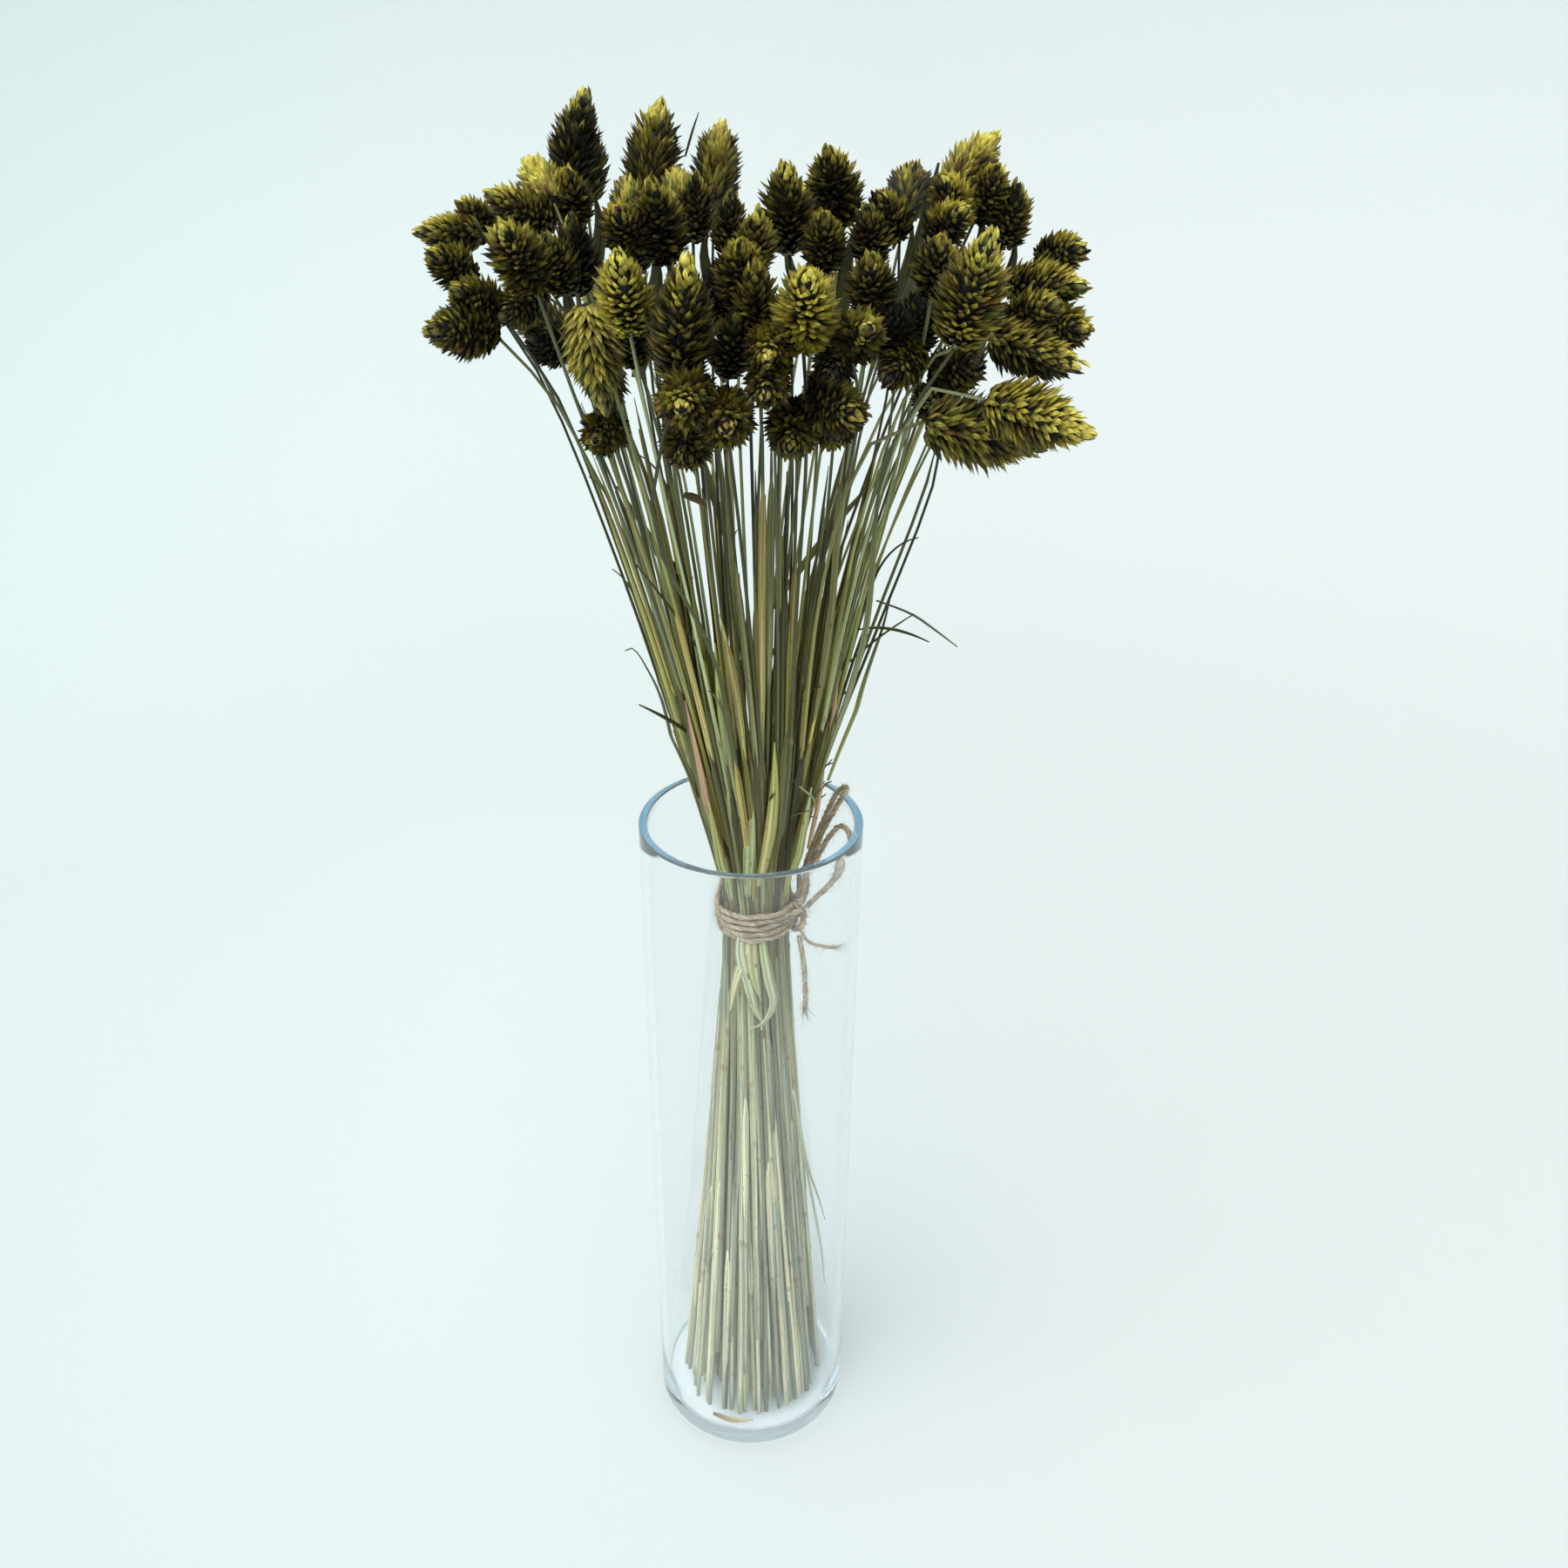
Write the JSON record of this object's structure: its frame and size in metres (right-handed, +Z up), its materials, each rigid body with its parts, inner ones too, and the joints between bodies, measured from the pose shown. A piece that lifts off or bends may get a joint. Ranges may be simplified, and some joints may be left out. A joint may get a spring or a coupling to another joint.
{
  "type": "vase of dried canary grass",
  "caption": "Clear glass cylinder vase holding a tall sheaf of dried canary grass, tied at its waist with rough twine, under a dense crown of plump scaly seed heads.",
  "frame": {"origin": "centre of the flat underside of the vase", "axes": "+Z up along the vase's axis; the front, where the twine's knot is at the right, faces -Y; +X is to the right of the front view"},
  "size_m": [0.2401, 0.2179, 0.6343],
  "materials": {
    "glass": "clear, polished, faintly blue at its edges",
    "twine": "rough, fuzzy jute, matt",
    "stalk": "dry straw, matt, yellow green",
    "seed_head": "dry papery scales, matt, olive green"
  },
  "bodies": {
    "root": {"vase": "glass", "twine_binding": "twine", "twine_loop_back": "twine", "twine_loop_front": "twine", "twine_tail": "twine", "stems_1": "stalk", "stems_2": "stalk", "stems_3": "stalk", "stems_4": "stalk", "stems_5": "stalk", "stems_6": "stalk", "stems_7": "stalk", "stems_8": "stalk", "stems_9": "stalk", "heads_left_far": "seed_head", "heads_left_outer": "seed_head", "heads_left_hanging": "seed_head", "heads_left_back": "seed_head", "heads_left_top": "seed_head", "heads_left_front": "seed_head", "heads_left_tall": "seed_head", "heads_rear_left": "seed_head", "heads_left_drooping": "seed_head", "heads_left_long": "seed_head", "heads_left_inner": "seed_head", "heads_left_spire": "seed_head", "heads_front_bright": "seed_head", "heads_front_left_top": "seed_head", "heads_rear_middle": "seed_head", "heads_middle_shaded": "seed_head", "heads_front_bottom": "seed_head", "heads_front_left": "seed_head", "heads_middle_spire": "seed_head", "heads_middle_back": "seed_head", "heads_middle_top": "seed_head", "heads_middle_front": "seed_head", "heads_front_middle": "seed_head", "heads_middle_tall": "seed_head", "heads_front_low": "seed_head", "heads_right_spire": "seed_head", "heads_middle_right": "seed_head", "heads_inner_low": "seed_head", "heads_rear_right": "seed_head", "heads_front_right": "seed_head", "heads_right_crest": "seed_head", "heads_inner_right": "seed_head", "heads_right_dark": "seed_head", "heads_inner_dark": "seed_head", "heads_right_front_top": "seed_head", "heads_right_shaded": "seed_head", "heads_right_under": "seed_head", "heads_right_bright": "seed_head", "heads_right_big": "seed_head", "heads_rear_right_outer": "seed_head", "heads_right_long": "seed_head", "heads_right_tall": "seed_head", "heads_right_side": "seed_head", "heads_right_back": "seed_head", "heads_right_outer": "seed_head", "heads_right_far": "seed_head"}
  },
  "joints": []
}
